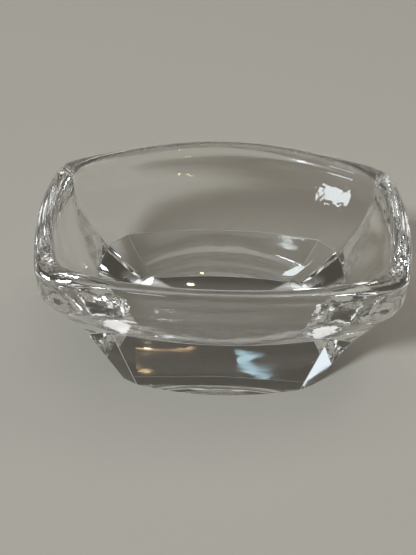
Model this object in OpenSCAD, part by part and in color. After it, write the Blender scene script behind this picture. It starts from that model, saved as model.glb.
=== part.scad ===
// Open salt cellar: one piece of clear glass, a bowed oblong bowl on a bevelled block foot.
// Millimetres. Z up. The origin is the centre of the flat face under the foot.
// X runs along the length, Y across the width.

/* [Foot] */
// Length of the flat under the foot at its corners
foot_length = 40.4; // [36:0.2:44]
// Width of the flat under the foot at its corners
foot_width = 33.2; // [29:0.2:36]
// Outward bow of the two end edges of the flat
foot_end_bow = 1.4; // [0:0.1:2]
// Outward bow of the two long edges of the flat
foot_side_bow = 2.3; // [0:0.1:4]
// Corner cut of the flat, along the length
foot_cut_length = 3; // [2:0.1:8]
// Corner cut of the flat, across the width
foot_cut_width = 1.8; // [1:0.1:6]

/* [Waist] */
// Height of the crease where the foot meets the bowl, along the sides
waist_height = 14.6; // [12:0.1:16]
// How much lower the crease lies at the ends
waist_end_drop = 2.5; // [0:0.1:3.5]
// Length of the crease at its corners
waist_length = 54.2; // [48:0.2:60]
// Width of the crease at its corners
waist_width = 32.4; // [29:0.2:36]
// Outward bow of the crease at the ends
waist_end_bow = 1.5; // [0:0.1:3]
// Outward bow of the crease along the sides
waist_side_bow = 2.8; // [0:0.1:5]
// Corner cut of the crease, along the length
waist_cut_length = 5.1; // [2:0.1:8]
// Corner cut of the crease, across the width
waist_cut_width = 2; // [1:0.1:6]

/* [Bowl outside] */
// Greatest height, at the middle of the long rims
rim_height = 34; // [30:0.2:38]
// How far the rim dips at its four corners
rim_corner_dip = 1.8; // [0:0.1:3]
// Outside length of the rim at its corners
rim_length = 71.8; // [64:0.2:78]
// Outside width of the rim at its corners
rim_width = 42.2; // [36:0.2:46]
// Outward bow of the rim at the ends
rim_end_bow = 1.6; // [0:0.1:4]
// Outward bow of the rim along the sides
rim_side_bow = 5.9; // [3:0.1:9]
// Rounded corner of the rim, taken off each way
rim_corner = 4.5; // [2:0.1:8]
// Height of the shoulder, where the side wall turns in to the underside
shoulder_height = 25.5; // [22:0.1:28]
// Length of the shoulder guide at its corners
shoulder_length = 71; // [66:0.2:78]
// Width of the shoulder guide at its corners
shoulder_width = 41.8; // [36:0.2:46]
// Outward bow of the shoulder at the ends
shoulder_end_bow = 2.4; // [0:0.1:4]
// Outward bow of the shoulder along the sides
shoulder_side_bow = 4.6; // [2:0.1:9]
// Rounded corner of the shoulder, along the length
shoulder_corner_length = 5; // [3:0.1:8]
// Rounded corner of the shoulder, across the width
shoulder_corner_width = 4; // [3:0.1:8]
// Share of the underside that the turn of the shoulder takes
turn_below = 0.2; // [0.1:0.05:0.6]
// Share of the side wall that the turn of the shoulder takes
turn_above = 0.35; // [0.1:0.05:0.6]

/* [Bowl inside] */
// Thickness of the glass at the rounded rim
rim_wall = 3.4; // [2.8:0.1:4]
// Rounded corner of the inner edge of the rim, taken off each way
lip_corner = 5; // [3:0.1:8]
// Thickness of the glass under the middle of the bowl
floor_thickness = 8; // [6:0.2:11]
// Height of the guide that holds the inner walls out
wall_height = 22; // [18:0.2:24]
// Length of the wall guide at its corners
wall_length = 66; // [58:0.5:68]
// Width of the wall guide at its corners
wall_width = 16; // [14:0.5:24]
// Outward bow of the wall guide at the ends
wall_end_bow = 1.6; // [0:0.1:2]
// Outward bow of the wall guide along the sides
wall_side_bow = 5; // [3:0.1:6]
// Rounded corner of the wall guide, along the length
wall_corner_length = 6; // [4:0.2:10]
// Rounded corner of the wall guide, across the width
wall_corner_width = 5; // [3:0.2:6]
// Length of the guide that lays the bowl floor out
bed_length = 44; // [36:0.5:48]
// Width of that guide
bed_width = 12; // [10:0.5:18]
// Outward bow of that guide at the ends
bed_end_bow = 1; // [0:0.1:1.4]
// Outward bow of that guide along the sides
bed_side_bow = 2; // [0:0.1:3]
// Rounded corner of that guide, along the length
bed_corner_length = 5; // [3:0.2:8]
// Rounded corner of that guide, across the width
bed_corner_width = 4; // [2:0.2:4.6]

/* [Fineness] */
// Steps along half of an end
end_steps = 6; // [3:1:12]
// Steps round a corner
corner_steps = 4; // [2:1:8]
// Steps along half of a long side
side_steps = 8; // [4:1:16]
// Rows up the foot
foot_rows = 4; // [1:1:8]
// Rows up the underside of the bowl
underside_rows = 4; // [1:1:8]
// Rows round the turn of the shoulder
turn_rows = 6; // [2:1:12]
// Rows up the side wall of the bowl
side_rows = 3; // [1:1:8]
// Rows over the rounded rim
rim_rows = 8; // [4:2:12]
// Rows down the inside of the bowl
inner_rows = 16; // [8:1:30]

/* [Look] */
// Tint of the glass in this view
glass_tint = [0.82, 0.87, 0.88, 0.6];

/* [Hidden] */
rim_round = rim_wall / 2;
rim_seat = rim_height - rim_round;
inner_length = rim_length - 2 * rim_wall;
inner_width = rim_width - 2 * rim_wall;

// Straight blend between two outlines or two points
function blend(a, b, t) = a * (1 - t) + b * t;

// Point on the cubic curve that leaves a towards b and reaches d from c
function cubic(a, b, c, d, t) =
    let (s = 1 - t)
    a * (s * s * s) + b * (3 * s * s * t) + c * (3 * s * t * t) + d * (t * t * t);

// Point on the corner curve from one edge to the next, pulled towards a knee
function corner_at(from, knee, to, t) =
    let (s = 1 - t)
    from * (s * s) + knee * (2 * s * t) + to * (t * t);

// Where the tangents of the bowed end and the bowed side meet
function knee_of(from, to, end_slope, side_slope) =
    let (run = to.x - from.x, rise = to.y - from.y)
    let (t = (rise - side_slope * run) / (1 - side_slope * end_slope))
    [from.x + end_slope * t, from.y + t];

// One quarter of an outline, from the middle of the end to the middle of the side.
// Roundness 0 leaves a straight corner cut, 1 a curve that meets both edges smoothly.
function quarter(half_x, half_y, end_bow, side_bow, cut_x, cut_y, roundness) =
    let (
        end_reach = half_y - cut_y,
        side_reach = half_x - cut_x,
        from = [half_x, end_reach],
        to = [side_reach, half_y],
        sharp = knee_of(from, to, -2 * end_bow / end_reach, -2 * side_bow / side_reach),
        knee = blend((from + to) / 2, sharp, roundness)
    )
    concat(
        [for (i = [0 : end_steps - 1])
            let (u = i / end_steps) [half_x + end_bow * (1 - u * u), u * end_reach]],
        [for (i = [0 : corner_steps - 1]) corner_at(from, knee, to, i / corner_steps)],
        [for (i = [0 : side_steps])
            let (u = 1 - i / side_steps) [u * side_reach, half_y + side_bow * (1 - u * u)]]
    );

// Whole outline at one height: the quarter, then its mirror images
function outline(length, width, end_bow, side_bow, cut_x, cut_y, roundness, height) =
    let (
        q = quarter(length / 2, width / 2, end_bow, side_bow, cut_x, cut_y, roundness),
        last = len(q) - 1,
        half = concat(q, [for (i = [1 : last]) [-q[last - i].x, q[last - i].y]]),
        turn = len(half) - 1
    )
    [for (p = concat(half, [for (i = [1 : turn - 1]) -half[i]])) [p.x, p.y, height]];

// How far each point of an outline belongs to an end: 1 on the ends, 0 on the long sides
function endness() =
    let (
        q = concat(
            [for (i = [1 : end_steps]) 1],
            [for (i = [0 : corner_steps]) 1 - i / corner_steps],
            [for (i = [1 : side_steps]) 0]
        ),
        last = len(q) - 1,
        half = concat(q, [for (i = [1 : last]) q[last - i]])
    )
    concat(half, [for (i = [1 : len(half) - 2]) half[i]]);

// How far each point of an outline is a corner: 1 at the corners, 0 mid end and mid side
function cornerness(ring, length, width) =
    [for (p = ring) pow(min(1, 4 * abs(p.x * p.y) / (length * width)), 2)];

// Outline lowered where its weights say
function dipped(ring, weights, drop) =
    [for (i = [0 : len(ring) - 1]) ring[i] - [0, 0, drop * weights[i]]];

foot = outline(foot_length, foot_width, foot_end_bow, foot_side_bow,
    foot_cut_length, foot_cut_width, 0, 0);
waist_flat = outline(waist_length, waist_width, waist_end_bow, waist_side_bow,
    waist_cut_length, waist_cut_width, 0, waist_height);
shoulder_flat = outline(shoulder_length, shoulder_width, shoulder_end_bow, shoulder_side_bow,
    shoulder_corner_length, shoulder_corner_width, 1, shoulder_height);
rim_flat = outline(rim_length, rim_width, rim_end_bow, rim_side_bow,
    rim_corner, rim_corner, 1, rim_seat);
lip_flat = outline(inner_length, inner_width, rim_end_bow, rim_side_bow,
    lip_corner, lip_corner, 1, rim_seat);
wall = outline(wall_length, wall_width, wall_end_bow, wall_side_bow,
    wall_corner_length, wall_corner_width, 1, wall_height);
bed = outline(bed_length, bed_width, bed_end_bow, bed_side_bow,
    bed_corner_length, bed_corner_width, 1, floor_thickness);
dip_weights = cornerness(rim_flat, rim_length, rim_width);
waist = dipped(waist_flat, endness(), waist_end_drop);
shoulder = dipped(shoulder_flat, dip_weights, rim_corner_dip);
rim = dipped(rim_flat, dip_weights, rim_corner_dip);
lip = dipped(lip_flat, dip_weights, rim_corner_dip);
turn_start = blend(shoulder, waist, turn_below);
turn_end = blend(shoulder, rim, turn_above);
columns = len(foot);
bed_middle = [for (p = foot) [0, 0, floor_thickness]];

// Every row of the skin, from the foot up the outside, over the rim and down inside
skin_rows = concat(
    [for (i = [0 : foot_rows]) blend(foot, waist, i / foot_rows)],
    [for (i = [1 : underside_rows]) blend(waist, turn_start, i / underside_rows)],
    [for (i = [1 : turn_rows]) corner_at(turn_start, shoulder, turn_end, i / turn_rows)],
    [for (i = [1 : side_rows]) blend(turn_end, rim, i / side_rows)],
    [for (i = [1 : rim_rows])
        let (turn = 180 * i / rim_rows, crest = [0, 0, rim_round * sin(turn)])
        [for (j = [0 : columns - 1])
            blend(rim[j], lip[j], (1 - cos(turn)) / 2) + crest]],
    [for (i = [1 : inner_rows - 1]) cubic(lip, wall, bed, bed_middle, i / inner_rows)]
);

// Triangles between two neighbouring rows
function band(row) =
    [for (j = [0 : columns - 1])
        let (
            k = (j + 1) % columns,
            low = row * columns,
            high = low + columns
        )
        each [[low + j, high + j, low + k], [low + k, high + j, high + k]]];

// Triangles that close a row onto one middle point
function fan(row, middle, up) =
    [for (j = [0 : columns - 1])
        let (k = (j + 1) % columns, low = row * columns)
        up ? [low + j, middle, low + k] : [low + j, low + k, middle]];

// The dish: one closed skin of glass
module dish() {
    last = len(skin_rows) - 1;
    foot_middle = len(skin_rows) * columns;
    corners = concat(
        [for (row = skin_rows) each row],
        [[0, 0, 0], [0, 0, floor_thickness]]
    );
    sides = concat(
        [for (row = [0 : last - 1]) each band(row)],
        fan(0, foot_middle, false),
        fan(last, foot_middle + 1, true)
    );
    color(glass_tint) polyhedron(points = corners, faces = sides, convexity = 4);
}

dish();
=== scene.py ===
"""Open salt cellar: one piece of clear glass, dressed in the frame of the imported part.

The dish is worked out by the same rule as its solid, on a finer net, and its foot gets
small rounded edges. Lengths are in metres.
"""

import logging
import math
from dataclasses import dataclass, field, replace
from enum import Enum

import bmesh
import bpy
from mathutils import Matrix, Quaternion, Vector

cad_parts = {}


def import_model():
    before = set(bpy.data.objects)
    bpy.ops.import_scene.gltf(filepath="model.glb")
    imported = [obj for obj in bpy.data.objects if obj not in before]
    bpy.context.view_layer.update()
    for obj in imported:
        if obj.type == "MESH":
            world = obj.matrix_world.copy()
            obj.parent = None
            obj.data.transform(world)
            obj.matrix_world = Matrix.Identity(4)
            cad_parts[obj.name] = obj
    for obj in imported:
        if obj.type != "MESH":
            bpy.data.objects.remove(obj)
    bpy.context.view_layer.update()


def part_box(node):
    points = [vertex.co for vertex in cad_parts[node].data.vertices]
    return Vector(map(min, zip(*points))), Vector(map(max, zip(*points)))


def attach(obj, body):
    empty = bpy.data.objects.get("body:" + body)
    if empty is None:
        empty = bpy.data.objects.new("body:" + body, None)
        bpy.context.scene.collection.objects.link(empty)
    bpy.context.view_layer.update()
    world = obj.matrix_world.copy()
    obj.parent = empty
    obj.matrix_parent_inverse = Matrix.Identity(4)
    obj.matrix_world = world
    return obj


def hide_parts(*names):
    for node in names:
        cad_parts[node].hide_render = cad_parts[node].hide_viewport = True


LOG = logging.getLogger("salt_cellar")
MM = 0.001
PHOTO_WIDTH = 416
PHOTO_HEIGHT = 555
NODE = "dish"
# Points closer together than this are one point
SAME_POINT = 1e-7
# Half a step keeps a count of whole numbers off the edge between two of them
HALF_STEP = 0.5

# A colour, a place or three angles
Triple = tuple[float, float, float]


class Kind(Enum):
    """The kinds of value that a rule's inputs and outputs hold."""

    NUMBER = "NodeSocketFloat"
    WHOLE = "NodeSocketInt"
    POINT = "NodeSocketVector"
    SHAPE = "NodeSocketGeometry"
    FINISH = "NodeSocketMaterial"


class Term:
    """A number or a point inside a rule, written with plain arithmetic."""

    def __init__(self, rule: "Rule", socket: bpy.types.NodeSocket, is_point: bool = False) -> None:
        """Keeps the socket that carries the value.

        Args:
            rule: The rule that the value belongs to.
            socket: The socket that gives it.
            is_point: Whether it is a point and not a number.
        """
        self.rule = rule
        self.socket = socket
        self.is_point = is_point

    def __add__(self, other: "Term | float") -> "Term":
        """Sum of two values."""
        return self.rule.work("ADD", self, other)

    def __sub__(self, other: "Term | float") -> "Term":
        """Difference of two values."""
        return self.rule.work("SUBTRACT", self, other)

    def __mul__(self, other: "Term | float") -> "Term":
        """Product of two numbers or of two points, or a point made longer by a number.

        Args:
            other: The second value.

        Returns:
            The product.
        """
        if self.is_point and not (isinstance(other, Term) and other.is_point):
            return self.rule.stretch(self, other)
        return self.rule.work("MULTIPLY", self, other)

    def __truediv__(self, other: "Term | float") -> "Term":
        """Quotient of two numbers."""
        return self.rule.work("DIVIDE", self, other)

    def __rsub__(self, other: float) -> "Term":
        """A plain number less this one."""
        return self.rule.work("SUBTRACT", other, self)


class Rule:
    """A node tree of Geometry Nodes, built one step at a time."""

    def __init__(
        self, name: str, inputs: dict[str, tuple[Kind, float | None]], output: tuple[str, Kind]
    ) -> None:
        """Starts an empty tree with its named inputs and its output.

        Args:
            name: Name of the tree.
            inputs: Kind and start value of each input by its name.
            output: Name and kind of the one output.
        """
        self.tree = bpy.data.node_groups.new(name, "GeometryNodeTree")
        add_socket = self.tree.interface.new_socket
        for label, (kind, start) in inputs.items():
            socket = add_socket(name=label, in_out="INPUT", socket_type=kind.value)
            if start is not None:
                socket.default_value = start
        add_socket(name=output[0], in_out="OUTPUT", socket_type=output[1].value)
        self.entry = self.tree.nodes.new("NodeGroupInput")
        self.exit = self.tree.nodes.new("NodeGroupOutput")

    def given(self, name: str) -> Term:
        """The input of that name."""
        return Term(self, self.entry.outputs[name])

    def plug(self, socket: bpy.types.NodeSocket, value: "Term | float | str") -> None:
        """Feeds a socket from a value of the rule, or from a plain number or name.

        Args:
            socket: The socket to feed.
            value: What it gets.
        """
        if isinstance(value, Term):
            self.tree.links.new(value.socket, socket)
        else:
            socket.default_value = value

    def work(self, step: str, *values: "Term | float") -> Term:
        """One step of arithmetic on numbers or on points.

        Args:
            step: The step's name in a Math or Vector Math node.
            values: What it works on.

        Returns:
            The result.
        """
        is_point = any(isinstance(v, Term) and v.is_point for v in values)
        node = self.tree.nodes.new("ShaderNodeVectorMath" if is_point else "ShaderNodeMath")
        node.operation = step
        for socket, value in zip(node.inputs, values):
            self.plug(socket, value)
        return Term(self, node.outputs[0], is_point)

    def stretch(self, point: Term, by: "Term | float") -> Term:
        """A point times a number.

        Args:
            point: The point.
            by: The number.

        Returns:
            The longer or shorter point.
        """
        node = self.tree.nodes.new("ShaderNodeVectorMath")
        node.operation = "SCALE"
        self.plug(node.inputs[0], point)
        self.plug(node.inputs["Scale"], by)
        return Term(self, node.outputs[0], True)

    def share(self, value: Term, start: "Term | float", span: "Term | float") -> Term:
        """How far a count has got through a span, held between 0 and 1.

        Args:
            value: The count.
            start: Where the span starts.
            span: How long it is.

        Returns:
            The share of the span, from 0 to 1.
        """
        part = (value - start) / span
        part.socket.node.use_clamp = True
        return part

    def point(self, x: "Term | float", y: "Term | float", z: "Term | float") -> Term:
        """A point from its three distances.

        Args:
            x: Distance along the length.
            y: Distance across the width.
            z: Height.

        Returns:
            The point.
        """
        node = self.tree.nodes.new("ShaderNodeCombineXYZ")
        for socket, value in zip(node.inputs, (x, y, z)):
            self.plug(socket, value)
        return Term(self, node.outputs[0], True)

    def apart(self, point: Term) -> tuple[Term, Term, Term]:
        """The three distances of a point.

        Args:
            point: The point.

        Returns:
            Its distances along the length, across the width and up.
        """
        node = self.tree.nodes.new("ShaderNodeSeparateXYZ")
        self.plug(node.inputs[0], point)
        return tuple(Term(self, s) for s in node.outputs)

    def blend(self, a: Term, b: Term, t: "Term | float") -> Term:
        """Straight blend from a to b."""
        return a + (b - a) * t

    def curve(self, a: Term, b: Term, c: Term, t: Term) -> Term:
        """Point on the curve from a to c that is pulled towards b.

        Args:
            a: Start.
            b: Guide.
            c: End.
            t: Share of the way, from 0 to 1.

        Returns:
            The point on the curve.
        """
        return self.blend(self.blend(a, b, t), self.blend(b, c, t), t)

    def cubic(self, a: Term, b: Term, c: Term, d: Term, t: Term) -> Term:
        """Point on the cubic curve that leaves a towards b and reaches d from c.

        Args:
            a: Start.
            b: First guide.
            c: Second guide.
            d: End.
            t: Share of the way, from 0 to 1.

        Returns:
            The point on the curve.
        """
        return self.blend(self.curve(a, b, c, t), self.curve(b, c, d, t), t)

    def call(self, other: "Rule", values: dict[str, "Term | float"]) -> Term:
        """The point that another rule gives for these inputs.

        Args:
            other: The other rule.
            values: Its inputs by name.

        Returns:
            Its output.
        """
        node = self.tree.nodes.new("GeometryNodeGroup")
        node.node_tree = other.tree
        for name, value in values.items():
            self.plug(node.inputs[name], value)
        return Term(self, node.outputs[0], True)

    def pass_through(self, node_type: str, shape: Term, values: dict[str, "Term | float"]) -> Term:
        """Adds a node that takes the shape and hands it on.

        Args:
            node_type: The node's type.
            shape: The shape that goes in.
            values: Its other inputs by name.

        Returns:
            The shape as the node leaves it.
        """
        node = self.tree.nodes.new(node_type)
        self.plug(node.inputs[0], shape)
        for name, value in values.items():
            self.plug(node.inputs[name], value)
        return Term(self, node.outputs[0])

    def keep(self, shape: Term, name: str, value: Term) -> Term:
        """Keeps a number at each point of the shape, under a name.

        Args:
            shape: The shape.
            name: Name of the kept number.
            value: The number.

        Returns:
            The shape that holds it.
        """
        node = self.tree.nodes.new("GeometryNodeStoreNamedAttribute")
        node.data_type, node.domain = "FLOAT", "POINT"
        self.plug(node.inputs["Geometry"], shape)
        self.plug(node.inputs["Name"], name)
        self.plug(node.inputs["Value"], value)
        return Term(self, node.outputs["Geometry"])


@dataclass(frozen=True)
class Guide:
    """An oblong outline with bowed ends and sides, at one height."""

    length: float
    width: float
    end_bow: float
    side_bow: float
    corner_length: float
    corner_width: float
    height: float = 0.0
    roundness: float = 1.0

    def inputs(self) -> dict[str, float]:
        """Pairs the outline's sizes with the inputs of the outline rule.

        Returns:
            The sizes by the inputs' names.
        """
        return {
            "Length": self.length,
            "Width": self.width,
            "End bow": self.end_bow,
            "Side bow": self.side_bow,
            "Corner length": self.corner_length,
            "Corner width": self.corner_width,
            "Height": self.height,
            "Roundness": self.roundness,
        }


def outline_rule() -> Rule:
    """The rule for one point of a guide outline in the first quarter.

    Returns:
        A rule that takes the outline's sizes and the shares run along end, corner and side.
    """
    sizes = ("Length", "Width", "End bow", "Side bow",
             "Corner length", "Corner width", "Height", "Roundness")
    shares = ("End share", "Corner share", "Side share")
    inputs = {name: (Kind.NUMBER, 0.0) for name in sizes + shares}
    rule = Rule("Guide outline", inputs, ("Point", Kind.POINT))
    half_x, half_y = rule.given("Length") / 2.0, rule.given("Width") / 2.0
    end_bow, side_bow = rule.given("End bow"), rule.given("Side bow")
    end_reach = half_y - rule.given("Corner width")
    side_reach = half_x - rule.given("Corner length")
    height = rule.given("Height")
    end_slope = end_bow * -2.0 / end_reach
    side_slope = side_bow * -2.0 / side_reach
    run, rise = side_reach - half_x, half_y - end_reach
    out = (rise - side_slope * run) / (1.0 - side_slope * end_slope)
    start = rule.point(half_x, end_reach, height)
    stop = rule.point(side_reach, half_y, height)
    sharp = start + rule.point(end_slope * out, out, 0.0)
    knee = rule.blend((start + stop) * 0.5, sharp, rule.given("Roundness"))
    u = rule.given("End share")
    on_end = rule.point(half_x + end_bow * (1.0 - u * u), u * end_reach, height)
    turn = rule.given("Corner share")
    on_corner = rule.curve(start, knee, stop, turn)
    v = 1.0 - rule.given("Side share")
    on_side = rule.point(v * side_reach, half_y + side_bow * (1.0 - v * v), height)
    rule.plug(rule.exit.inputs[0], on_end + (on_corner - start) + (on_side - stop))
    return rule


class Recipe:
    """A material whose finish is built one step at a time."""

    def __init__(self, name: str) -> None:
        """Starts a material with a plain shader.

        Args:
            name: Name of the material.
        """
        self.material = bpy.data.materials.new(name)
        self.material.use_nodes = True
        self.nodes = self.material.node_tree.nodes
        self.links = self.material.node_tree.links
        self.shader = self.nodes["Principled BSDF"]

    def fix(self, socket: str, value: "float | Triple") -> None:
        """Sets a socket of the shader to one value for the whole surface.

        Args:
            socket: Name of the socket.
            value: A number or a colour.
        """
        is_colour = isinstance(value, tuple)
        self.shader.inputs[socket].default_value = (*value, 1.0) if is_colour else value

    def feed(self, socket: str, value: bpy.types.NodeSocket) -> None:
        """Feeds a socket of the shader from a value that varies over the surface."""
        self.links.new(value, self.shader.inputs[socket])

    def place(self) -> bpy.types.NodeSocket:
        """The place on the piece, in its own coordinates."""
        return self.nodes.new("ShaderNodeTexCoord").outputs["Object"]

    def height(self, place: bpy.types.NodeSocket) -> bpy.types.NodeSocket:
        """The height of a place.

        Args:
            place: The place.

        Returns:
            Its height above the floor.
        """
        node = self.nodes.new("ShaderNodeSeparateXYZ")
        self.links.new(place, node.inputs[0])
        return node.outputs["Z"]

    def turned(
        self, place: bpy.types.NodeSocket, angles: Triple, stretch: Triple
    ) -> bpy.types.NodeSocket:
        """A place as a turned and stretched pattern sees it.

        Args:
            place: The place.
            angles: Turn about each axis, in radians.
            stretch: How much finer the pattern is along each axis.

        Returns:
            The place in the pattern.
        """
        node = self.nodes.new("ShaderNodeMapping")
        node.inputs["Rotation"].default_value = angles
        node.inputs["Scale"].default_value = stretch
        self.links.new(place, node.inputs["Vector"])
        return node.outputs["Vector"]

    def noise(self, place: bpy.types.NodeSocket, size: float, detail: float) -> bpy.types.NodeSocket:
        """Soft noise.

        Args:
            place: The place that it is read at.
            size: Rough size of its lumps.
            detail: How many finer layers it has.

        Returns:
            Its value, from 0 to 1.
        """
        node = self.nodes.new("ShaderNodeTexNoise")
        node.inputs["Scale"].default_value = 1.0 / size
        node.inputs["Detail"].default_value = detail
        self.links.new(place, node.inputs["Vector"])
        return node.outputs["Fac"]

    def ramp(
        self, value: bpy.types.NodeSocket, span: tuple[float, float], top: float = 1.0
    ) -> bpy.types.NodeSocket:
        """A value that rises from 0 while another one goes through a span.

        Args:
            value: The other value.
            span: Where the rise starts and where it ends.
            top: What it rises to.

        Returns:
            The new value, held at both ends.
        """
        node = self.nodes.new("ShaderNodeMapRange")
        node.inputs["From Min"].default_value, node.inputs["From Max"].default_value = span
        node.inputs["To Max"].default_value = top
        self.links.new(value, node.inputs["Value"])
        return node.outputs["Result"]

    def both(
        self, step: str, one: bpy.types.NodeSocket, other: bpy.types.NodeSocket
    ) -> bpy.types.NodeSocket:
        """One step of arithmetic on two values.

        Args:
            step: The step's name in a Math node.
            one: First value.
            other: Second value.

        Returns:
            The result.
        """
        node = self.nodes.new("ShaderNodeMath")
        node.operation = step
        self.links.new(one, node.inputs[0])
        self.links.new(other, node.inputs[1])
        return node.outputs[0]

    def bump(
        self, height: bpy.types.NodeSocket, depth: float, under: bpy.types.NodeSocket | None = None
    ) -> bpy.types.NodeSocket:
        """Bump of a true depth.

        Args:
            height: Height of the bumps, from 0 to 1.
            depth: How high 1 stands.
            under: Another bump that this one is laid over.

        Returns:
            The bent surface direction.
        """
        node = self.nodes.new("ShaderNodeBump")
        node.inputs["Strength"].default_value = 1.0
        node.inputs["Distance"].default_value = depth
        self.links.new(height, node.inputs["Height"])
        if under is not None:
            self.links.new(under, node.inputs["Normal"])
        return node.outputs["Normal"]


@dataclass(frozen=True)
class GlassFinish:
    """Clear fire-polished glass: faint waves in the skin, hair scratches and a worn foot."""

    name: str = "clear_glass"
    tint: Triple = (0.94, 0.94, 0.92)
    ior: float = 1.52
    wave_size: float = 11 * MM
    wave_detail: float = 0.0
    wave_depth: float = 0.04 * MM
    ripple_size: float = 3 * MM
    ripple_detail: float = 2.0
    ripple_depth: float = 0.075 * MM
    ripple_heights: tuple[float, float] = (12 * MM, 18 * MM)
    scratch_gap: float = 1.6 * MM
    scratch_turn: Triple = (0.5, 0.9, 0.7)
    scratch_stretch: Triple = (1.0, 9.0, 1.0)
    scratch_span: tuple[float, float] = (0.62, 0.72)
    scratch_haze: float = 0.02
    smear_size: float = 12 * MM
    smear_span: tuple[float, float] = (0.52, 0.75)
    smear_haze: float = 0.012
    fine_detail: float = 3.0
    wear_size: float = 7 * MM
    wear_detail: float = 1.0
    wear_span: tuple[float, float] = (0.3, 0.7)
    wear_heights: tuple[float, float] = (0.7 * MM, 0.0)
    foot_wear: float = 0.05

    def make(self) -> bpy.types.Material:
        """Builds the material.

        Returns:
            The glass, with waves as bump and wear as roughness.
        """
        glass = Recipe(self.name)
        glass.fix("Base Color", self.tint)
        glass.fix("IOR", self.ior)
        glass.fix("Transmission Weight", 1.0)
        place = glass.place()
        height = glass.height(place)

        in_bowl = glass.ramp(height, self.ripple_heights)
        lumps = glass.noise(place, self.ripple_size, self.ripple_detail)
        ripples = glass.both("MULTIPLY", lumps, in_bowl)
        waves = glass.bump(glass.noise(place, self.wave_size, self.wave_detail), self.wave_depth)
        glass.feed("Normal", glass.bump(ripples, self.ripple_depth, waves))

        drawn = glass.turned(place, self.scratch_turn, self.scratch_stretch)
        hairs = glass.noise(drawn, self.scratch_gap, self.fine_detail)
        scratches = glass.ramp(hairs, self.scratch_span, self.scratch_haze)
        clouds = glass.noise(place, self.smear_size, self.fine_detail)
        smears = glass.ramp(clouds, self.smear_span, self.smear_haze)
        low_down = glass.ramp(height, self.wear_heights, self.foot_wear)
        patches = glass.ramp(glass.noise(place, self.wear_size, self.wear_detail), self.wear_span)
        worn = glass.both("MULTIPLY", low_down, patches)
        glass.feed("Roughness", glass.both("ADD", glass.both("ADD", scratches, smears), worn))
        return glass.material


@dataclass(frozen=True)
class FloorFinish:
    """Plain pale matt floor."""

    name: str = "pale_floor"
    colour: Triple = (0.53, 0.485, 0.42)
    roughness: float = 0.85
    shine: float = 0.15

    def make(self) -> bpy.types.Material:
        """Builds the material.

        Returns:
            The floor's finish.
        """
        floor = Recipe(self.name)
        floor.fix("Base Color", self.colour)
        floor.fix("Roughness", self.roughness)
        floor.fix("Specular IOR Level", self.shine)
        return floor.material


@dataclass(frozen=True)
class Fineness:
    """Steps of the net that the dish is laid on."""

    end: int = 12
    corner: int = 8
    side: int = 18
    foot: int = 12
    underside: int = 14
    turn: int = 16
    side_wall: int = 10
    rim: int = 12
    inner: int = 48


@dataclass(frozen=True)
class Net:
    """The flat net inside the skin's rule, and what is counted out at each of its points."""

    mesh: Term
    row: Term
    local: Term
    signs: Term


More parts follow.
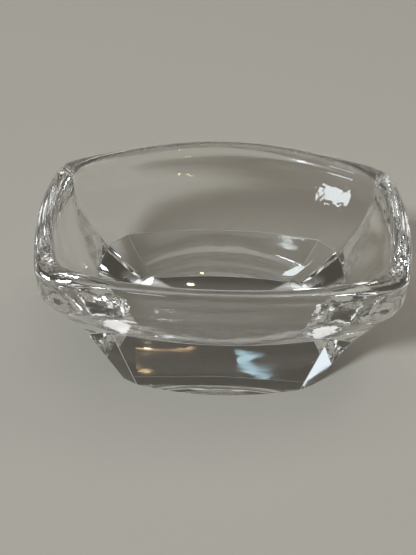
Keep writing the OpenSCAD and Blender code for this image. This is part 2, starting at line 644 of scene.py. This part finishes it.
@dataclass
class Dish:
    """The glass dish: a bowed bowl with dipped corners on a solid foot with cut corners.

    The lip follows the rim, the rim's height comes from the solid's box, and the bed lies at the
    floor's thickness.
    """

    low: Vector
    high: Vector
    foot: Guide = Guide(length=40.4 * MM, width=33.2 * MM, end_bow=1.4 * MM, side_bow=2.3 * MM,
                        corner_length=3 * MM, corner_width=1.8 * MM, roundness=0.0)
    waist: Guide = Guide(length=54.2 * MM, width=32.4 * MM, end_bow=1.5 * MM, side_bow=2.8 * MM,
                         corner_length=5.1 * MM, corner_width=2 * MM, height=14.6 * MM, roundness=0.0)
    shoulder: Guide = Guide(length=71 * MM, width=41.8 * MM, end_bow=2.4 * MM, side_bow=4.6 * MM,
                            corner_length=5 * MM, corner_width=4 * MM, height=25.5 * MM)
    rim: Guide = Guide(length=71.8 * MM, width=42.2 * MM, end_bow=1.6 * MM, side_bow=5.9 * MM,
                       corner_length=4.5 * MM, corner_width=4.5 * MM)
    wall: Guide = Guide(length=66 * MM, width=16 * MM, end_bow=1.6 * MM, side_bow=5 * MM,
                        corner_length=6 * MM, corner_width=5 * MM, height=22 * MM)
    bed: Guide = Guide(length=44 * MM, width=12 * MM, end_bow=1 * MM, side_bow=2 * MM,
                       corner_length=5 * MM, corner_width=4 * MM)
    rim_dip: float = 1.8 * MM
    waist_end_drop: float = 2.5 * MM
    rim_wall: float = 3.4 * MM
    turn_below: float = 0.2
    turn_above: float = 0.35
    lip_corner: float = 5 * MM
    floor_thickness: float = 8 * MM
    edge_round: float = 0.06 * MM
    edge_steps: int = 3
    edge_profile: float = 0.5
    shading_weight: int = 50
    fineness: Fineness = field(default_factory=Fineness)
    finish: GlassFinish = field(default_factory=GlassFinish)

    @property
    def height(self) -> float:
        """Greatest height of the dish."""
        return self.high[2] - self.low[2]

    @property
    def rim_round(self) -> float:
        """Radius of the rounded rim."""
        return self.rim_wall / 2

    def guides(self) -> dict[str, Guide]:
        """The outlines that the skin follows, from the foot up and down inside.

        Returns:
            The outlines by name.
        """
        rim = replace(self.rim, height=self.height - self.rim_round)
        lip = replace(rim, length=rim.length - 2 * self.rim_wall, width=rim.width - 2 * self.rim_wall,
                      corner_length=self.lip_corner, corner_width=self.lip_corner)
        bed = replace(self.bed, height=self.floor_thickness)
        return {"Foot": self.foot, "Waist": self.waist, "Shoulder": self.shoulder, "Rim": rim,
                "Lip": lip, "Wall": self.wall, "Bed": bed}

    def tree_inputs(self) -> dict[str, tuple[Kind, float | None]]:
        """Every named input of the skin's rule, with its kind and its value.

        Returns:
            The steps of the net, the sizes of each guide outline and the dish's own sizes.
        """
        fine = self.fineness
        counts = {"End steps": fine.end, "Corner steps": fine.corner, "Side steps": fine.side,
                  "Foot rows": fine.foot, "Underside rows": fine.underside, "Turn rows": fine.turn,
                  "Side wall rows": fine.side_wall, "Rim rows": fine.rim, "Inner rows": fine.inner}
        sizes = {"Rim dip": self.rim_dip, "Rim round": self.rim_round,
                 "Waist end drop": self.waist_end_drop, "Floor thickness": self.floor_thickness,
                 "Turn below": self.turn_below, "Turn above": self.turn_above}
        for name, guide in self.guides().items():
            sizes |= {f"{name} {size.lower()}": value for size, value in guide.inputs().items()}
        inputs = {name: (Kind.WHOLE, n) for name, n in counts.items()}
        inputs |= {name: (Kind.NUMBER, n) for name, n in sizes.items()}
        return inputs | {"Finish": (Kind.FINISH, None)}

    def bands(self, rule: Rule) -> tuple[dict[str, tuple["Term | float", Term]], Term]:
        """Shares the net's rows out among the bands of the skin, from the foot up and down inside.

        Args:
            rule: The skin's rule.

        Returns:
            First row and count of rows of each band by its name, and the count of all rows.
        """
        found, start = {}, 1.0
        for name in ("Foot", "Underside", "Turn", "Side wall", "Rim", "Inner"):
            count = rule.given(f"{name} rows")
            found[name] = (start, count)
            start = count + start
        return found, start + 1.0

    def spread(self, rule: Rule, rows: Term) -> Net:
        """Spreads a flat net with a column for each step round the dish.

        Args:
            rule: The skin's rule.
            rows: The count of all rows.

        Returns:
            The net, and for each point its row, its place in the quarter and the quarter's signs.
        """
        quarter = rule.given("End steps") + rule.given("Corner steps") + rule.given("Side steps")
        grid = rule.tree.nodes.new("GeometryNodeMeshGrid")
        rule.plug(grid.inputs["Vertices X"], quarter * 4.0 + 1.0)
        rule.plug(grid.inputs["Vertices Y"], rows)
        count = Term(rule, rule.tree.nodes.new("GeometryNodeInputIndex").outputs[0])
        column = rule.work("FLOOR", (count + HALF_STEP) / rows)
        row = count - column * rows
        turn = rule.work("FLOOR", (column + HALF_STEP) / quarter)
        along = column - turn * quarter
        odd = rule.work("MODULO", turn, 2.0)
        local = along + odd * (quarter - along * 2.0)
        past = [rule.work("GREATER_THAN", turn, n + HALF_STEP) for n in range(3)]
        signs = rule.point(1.0 - (past[0] - past[2]) * 2.0, 1.0 - past[1] * 2.0, 1.0)
        return Net(Term(rule, grid.outputs["Mesh"]), row, local, signs)

    def outlines(self, rule: Rule, local: Term) -> dict[str, Term]:
        """The point of each guide outline at a place along the quarter.

        Args:
            rule: The skin's rule.
            local: The place, in steps from the middle of the end.

        Returns:
            The points by the outlines' names, with the dip of the rim and the drop of the crease.
        """
        g = rule.given
        past_corner = g("End steps") + g("Corner steps")
        shares = {
            "End share": rule.share(local, 0.0, g("End steps")),
            "Corner share": rule.share(local, g("End steps"), g("Corner steps")),
            "Side share": rule.share(local, past_corner, g("Side steps")),
        }
        outline = outline_rule()
        at = {}
        for name, guide in self.guides().items():
            given = {size: g(f"{name} {size.lower()}") for size in guide.inputs()}
            at[name] = rule.call(outline, given | shares)
        rim_x, rim_y, _ = rule.apart(at["Rim"])
        cornerness = rim_x * rim_y * 4.0 / (g("Rim length") * g("Rim width"))
        cornerness.socket.node.use_clamp = True
        dip = rule.point(0.0, 0.0, cornerness * cornerness * g("Rim dip"))
        drop = rule.point(0.0, 0.0, (1.0 - shares["Corner share"]) * g("Waist end drop"))
        lowered = {"Waist": drop, "Shoulder": dip, "Rim": dip, "Lip": dip}
        return at | {name: at[name] - by for name, by in lowered.items()}

    def course(self, rule: Rule, at: dict[str, Term], up: dict[str, Term]) -> Term:
        """The skin's point in the first quarter, band after band.

        Args:
            rule: The skin's rule.
            at: The point of each guide outline by its name.
            up: How far each band is done, by its name.

        Returns:
            The point.
        """
        foot, waist, shoulder, rim, lip, wall, bed = at.values()
        turn_start = rule.blend(shoulder, waist, rule.given("Turn below"))
        turn_end = rule.blend(shoulder, rim, rule.given("Turn above"))
        middle = rule.point(0.0, 0.0, rule.given("Floor thickness"))
        swing = up["Rim"] * math.pi
        crest = rule.point(0.0, 0.0, rule.work("SINE", swing) * rule.given("Rim round"))
        across = (1.0 - rule.work("COSINE", swing)) / 2.0
        skin = rule.blend(foot, waist, up["Foot"])
        skin = skin + (rule.blend(waist, turn_start, up["Underside"]) - waist)
        skin = skin + (rule.curve(turn_start, shoulder, turn_end, up["Turn"]) - turn_start)
        skin = skin + (rule.blend(turn_end, rim, up["Side wall"]) - turn_end)
        skin = skin + (rule.blend(rim, lip, across) + crest - rim)
        return skin + (rule.cubic(lip, wall, bed, middle, up["Inner"]) - lip)

    def skin_rule(self) -> Rule:
        """The rule that lays the net over the guide outlines.

        Returns:
            A rule whose inputs are the steps of the net, the dish's own sizes and its finish.
        """
        rule = Rule("Dish skin", self.tree_inputs(), ("Dish", Kind.SHAPE))
        bands, rows = self.bands(rule)
        net = self.spread(rule, rows)
        up = {name: rule.share(net.row, *span) for name, span in bands.items()}
        skin = self.course(rule, self.outlines(rule, net.local), up)
        closed = rule.work("MINIMUM", net.row, 1.0)
        skin = skin * rule.point(closed, closed, 1.0) * net.signs
        shape = rule.keep(rule.keep(net.mesh, "row", net.row), "local", net.local)
        steps = {
            "GeometryNodeSetPosition": {"Position": skin},
            "GeometryNodeMergeByDistance": {"Distance": SAME_POINT},
            "GeometryNodeSetShadeSmooth": {},
            "GeometryNodeRealizeInstances": {},
            "GeometryNodeSetMaterial": {"Material": rule.given("Finish")},
        }
        for node_type, values in steps.items():
            shape = rule.pass_through(node_type, shape, values)
        rule.plug(rule.exit.inputs[0], shape)
        return rule

    def skin(self, material: bpy.types.Material) -> bpy.types.Mesh:
        """Runs the rule and keeps what it makes as a plain mesh.

        Args:
            material: The finish of the dish.

        Returns:
            The closed skin, with the row and the place along its quarter kept at each point.
        """
        rule = self.skin_rule()
        host = bpy.data.objects.new("dish_skin", bpy.data.meshes.new("dish_skin"))
        bpy.context.scene.collection.objects.link(host)
        modifier = host.modifiers.new("Dish skin", "NODES")
        modifier.node_group = rule.tree
        wanted = {name: value for name, (_, value) in self.tree_inputs().items()}
        wanted["Finish"] = material
        for item in rule.tree.interface.items_tree:
            if item.in_out == "INPUT":
                modifier[item.identifier] = wanted[item.name]
        mesh = applied(host)
        bpy.data.objects.remove(host)
        return mesh

    def soften_edges(self, mesh: bpy.types.Mesh) -> None:
        """Rounds the foot's corner cuts, its lower edge and the crease above it a little.

        Args:
            mesh: The skin; it is changed in place.
        """
        fine = self.fineness
        work = bmesh.new()
        work.from_mesh(mesh)
        row_of = work.verts.layers.float["row"]
        local_of = work.verts.layers.float["local"]
        foot_rows = range(1, fine.foot + 2)
        cuts = ({fine.end}, {fine.end + fine.corner})

        def on_ridge(edge: bmesh.types.BMEdge) -> bool:
            """Tells the foot's real edges from those that only carry its faces.

            Args:
                edge: An edge of the skin.

            Returns:
                Whether it is one of the foot's real edges.
            """
            rows = {round(end[row_of]) for end in edge.verts}
            places = {round(end[local_of]) for end in edge.verts}
            level = rows in ({foot_rows[0]}, {foot_rows[-1]})
            upright = places in cuts and rows <= set(foot_rows)
            return level or upright

        ridges = [e for e in work.edges if on_ridge(e)]
        bmesh.ops.bevel(work, geom=ridges, offset=self.edge_round, offset_type="OFFSET",
                        segments=self.edge_steps, profile=self.edge_profile, affect="EDGES",
                        clamp_overlap=True)
        bmesh.ops.remove_doubles(work, verts=work.verts, dist=SAME_POINT)
        if work.calc_volume(signed=True) < 0:
            bmesh.ops.reverse_faces(work, faces=work.faces)
        for face in work.faces:
            face.smooth = True
        work.to_mesh(mesh)
        work.free()
        for name in ("row", "local"):
            mesh.attributes.remove(mesh.attributes[name])

    def keep_inside(self, mesh: bpy.types.Mesh) -> None:
        """Draws the finer net in by the few thousandths that it stands outside the solid's box.

        Args:
            mesh: The skin; it is changed in place.
        """
        reach = [max(abs(v.co[i]) for v in mesh.vertices) for i in range(3)]
        limit = [min(-self.low[0], self.high[0]), min(-self.low[1], self.high[1]), self.high[2]]
        shares = [min(1.0, most / now) for most, now in zip(limit, reach)]
        mesh.transform(Matrix.Diagonal(shares + [1.0]))

    def build(self) -> bpy.types.Object:
        """Makes the dish and puts it in the place of its solid.

        Returns:
            The finished piece.
        """
        mesh = self.skin(self.finish.make())
        self.soften_edges(mesh)
        self.keep_inside(mesh)
        piece = bpy.data.objects.new("dish_glass", mesh)
        bpy.context.scene.collection.objects.link(piece)
        even = piece.modifiers.new("even shading", "WEIGHTED_NORMAL")
        even.mode, even.weight = "FACE_AREA_WITH_ANGLE", self.shading_weight
        piece.data = applied(piece)
        piece.modifiers.clear()
        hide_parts(NODE)
        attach(piece, "root")
        return piece


def applied(thing: bpy.types.Object) -> bpy.types.Mesh:
    """A plain mesh of an object as its modifiers leave it.

    Args:
        thing: The object.

    Returns:
        A new mesh.
    """
    view = bpy.context.evaluated_depsgraph_get()
    view.update()
    shown = thing.evaluated_get(view)
    return bpy.data.meshes.new_from_object(shown, preserve_all_data_layers=True, depsgraph=view)


class Glow(Enum):
    """The shapes of a lamp's glowing face."""

    PANEL = "RECTANGLE"
    OVAL = "ELLIPSE"


@dataclass(frozen=True)
class SoftLamp:
    """A soft lamp that looks at the dish.

    Its bearing is counted from +Y towards +X. Bearing, height and turn are in degrees, distance
    and size in metres, and the power in watts.
    """

    name: str
    around: float
    up: float
    away: float
    size: tuple[float, float]
    power: float
    colour: Triple
    face: Glow = Glow.PANEL
    turn: float = 0.0
    in_gloss: bool = True
    looks_at: Triple = (0.0, 0.0, 15 * MM)

    def make(self) -> bpy.types.Object:
        """Hangs the lamp.

        Returns:
            The lamp.
        """
        bearing, height = math.radians(self.around), math.radians(self.up)
        level = Vector((math.sin(bearing), math.cos(bearing), 0.0))
        way = level * math.cos(height) + Vector((0.0, 0.0, math.sin(height)))
        lamp = bpy.data.lights.new(self.name, "AREA")
        lamp.shape, lamp.size, lamp.size_y = self.face.value, *self.size
        lamp.energy, lamp.color = self.power, self.colour
        thing = bpy.data.objects.new(self.name, lamp)
        thing.location = Vector(self.looks_at) + way * self.away
        spin = Quaternion((0.0, 0.0, 1.0), math.radians(self.turn))
        thing.rotation_euler = ((-way).to_track_quat("-Z", "Y") @ spin).to_euler()
        thing.visible_glossy = self.in_gloss
        bpy.context.scene.collection.objects.link(thing)
        return thing


@dataclass(frozen=True)
class Studio:
    """Floor, surroundings, lamps and camera.

    Angles are in degrees. The window is two lamps: the strong one lights the floor and what is
    seen through the glass, and the weak one is what the glass mirrors, so that its pale blue
    stays. Light may turn often, because the thick ends of the dish turn it many times.
    """

    floor_side: float = 2.6
    floor_gap: float = 0.03 * MM
    horizon: Triple = (0.335, 0.32, 0.285)
    room: Triple = (0.072, 0.066, 0.055)
    ceiling: Triple = (1.05, 1.05, 1.05)
    horizon_fades: tuple[float, float] = (8.0, 14.0)
    ceiling_starts: tuple[float, float] = (55.0, 75.0)
    elevation: float = 40.0
    yaw: float = 1.2
    roll: float = 0.9
    distance: float = 213.2 * MM
    target: Triple = (-2.9 * MM, 0.0, 16.2 * MM)
    focal_pixels: float = 1000.0
    sensor: float = 36.0
    nearest: float = 5 * MM
    farthest: float = 20.0
    light_turns: int = 24
    mirror_turns: int = 16
    lamps: tuple[SoftLamp, ...] = (
        SoftLamp("window", around=-147.0, up=46.0, away=2.5, size=(0.40, 0.30), power=34.0,
                 colour=(0.82, 0.92, 1.0), in_gloss=False),
        SoftLamp("window_sheen", around=-147.0, up=46.0, away=2.45, size=(0.40, 0.30), power=5.4,
                 colour=(0.86, 0.95, 1.0)),
        SoftLamp("right_fill", around=60.0, up=62.0, away=1.0, size=(0.40, 0.40), power=0.6,
                 colour=(1.0, 0.95, 0.88)),
        SoftLamp("cool_strip", around=-24.0, up=40.0, away=1.0, size=(0.16, 0.10), power=0.055,
                 colour=(0.80, 0.90, 1.0)),
        SoftLamp("warm_spot", around=171.0, up=50.0, away=1.0, size=(0.024, 0.018), power=0.045,
                 colour=(1.0, 0.74, 0.45), face=Glow.OVAL),
        SoftLamp("warm_glint", around=9.0, up=42.9, away=1.0, size=(0.14, 0.006), power=0.0016,
                 colour=(1.0, 0.68, 0.36), face=Glow.OVAL, turn=-6.0),
        SoftLamp("warm_spark", around=11.5, up=42.8, away=0.98, size=(0.022, 0.005), power=0.0007,
                 colour=(1.0, 0.86, 0.60), face=Glow.OVAL, turn=-6.0),
        SoftLamp("cool_glint", around=-7.0, up=44.3, away=1.0, size=(0.12, 0.014), power=0.0028,
                 colour=(0.55, 0.84, 1.0), face=Glow.OVAL, turn=18.0),
    )
    floor_finish: FloorFinish = field(default_factory=FloorFinish)

    def set_view(self) -> None:
        """Shows colours as they are written and lets light turn often inside the glass."""
        scene = bpy.context.scene
        scene.view_settings.view_transform = "Standard"
        scene.cycles.max_bounces = self.light_turns
        scene.cycles.transmission_bounces = self.light_turns
        scene.cycles.glossy_bounces = self.mirror_turns

    def lay_floor(self) -> bpy.types.Object:
        """Lays the floor a hair under the foot.

        Returns:
            The floor.
        """
        half, down = self.floor_side / 2, -self.floor_gap
        mesh = bpy.data.meshes.new("floor")
        corners = [(x * half, y * half, down) for x, y in ((-1, -1), (1, -1), (1, 1), (-1, 1))]
        mesh.from_pydata(corners, [], [(0, 1, 2, 3)])
        mesh.materials.append(self.floor_finish.make())
        floor = bpy.data.objects.new("floor", mesh)
        bpy.context.scene.collection.objects.link(floor)
        return floor

    def light(self) -> None:
        """Sets the surroundings and hangs the lamps."""
        world = bpy.data.worlds.new("studio")
        world.use_nodes = True
        nodes, links = world.node_tree.nodes, world.node_tree.links
        way, height = nodes.new("ShaderNodeTexCoord"), nodes.new("ShaderNodeSeparateXYZ")
        links.new(way.outputs["Generated"], height.inputs[0])
        below = nodes.new("ShaderNodeRGB").outputs[0]
        below.default_value = (*self.horizon, 1.0)
        layers = ((self.room, self.horizon_fades), (self.ceiling, self.ceiling_starts))
        for above, (start, stop) in layers:
            rise = nodes.new("ShaderNodeMapRange")
            rise.interpolation_type = "SMOOTHSTEP"
            rise.inputs["From Min"].default_value = math.sin(math.radians(start))
            rise.inputs["From Max"].default_value = math.sin(math.radians(stop))
            links.new(height.outputs["Z"], rise.inputs["Value"])
            mix = nodes.new("ShaderNodeMixRGB")
            mix.inputs["Color2"].default_value = (*above, 1.0)
            links.new(rise.outputs["Result"], mix.inputs["Fac"])
            links.new(below, mix.inputs["Color1"])
            below = mix.outputs["Color"]
        links.new(below, nodes["Background"].inputs["Color"])
        bpy.context.scene.world = world
        for lamp in self.lamps:
            lamp.make()

    def set_camera(self) -> bpy.types.Object:
        """Stands the camera where the photo was taken from.

        Returns:
            The camera.
        """
        rise, aside, lean = (math.radians(a) for a in (self.elevation, self.yaw, self.roll))
        level = Vector((math.sin(aside), -math.cos(aside), 0.0))
        back = level * math.cos(rise) + Vector((0.0, 0.0, math.sin(rise)))
        right = Vector((math.cos(aside), math.sin(aside), 0.0))
        above = back.cross(right)
        turned_right = right * math.cos(lean) + above * math.sin(lean)
        turned_above = above * math.cos(lean) - right * math.sin(lean)
        place = back * self.distance + Vector(self.target)
        data = bpy.data.cameras.new("camera")
        data.sensor_fit, data.sensor_width = "AUTO", self.sensor
        data.lens = self.sensor * self.focal_pixels / max(PHOTO_WIDTH, PHOTO_HEIGHT)
        data.clip_start, data.clip_end = self.nearest, self.farthest
        camera = bpy.data.objects.new("camera", data)
        facing = Matrix((turned_right, turned_above, back)).transposed()
        camera.matrix_world = Matrix.Translation(place) @ facing.to_4x4()
        bpy.context.scene.collection.objects.link(camera)
        bpy.context.scene.camera = camera
        return camera


def main() -> None:
    """Builds the dish and its studio, and logs how many points and faces the dish has."""
    logging.basicConfig(level=logging.INFO, format="%(message)s")
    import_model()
    low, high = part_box(NODE)
    piece = Dish(Vector(low), Vector(high)).build()
    mesh = piece.data
    LOG.info("%s: %d points, %d faces", piece.name, len(mesh.vertices), len(mesh.polygons))
    studio = Studio()
    studio.set_view()
    studio.lay_floor()
    studio.light()
    studio.set_camera()


if __name__ == "__main__":
    main()
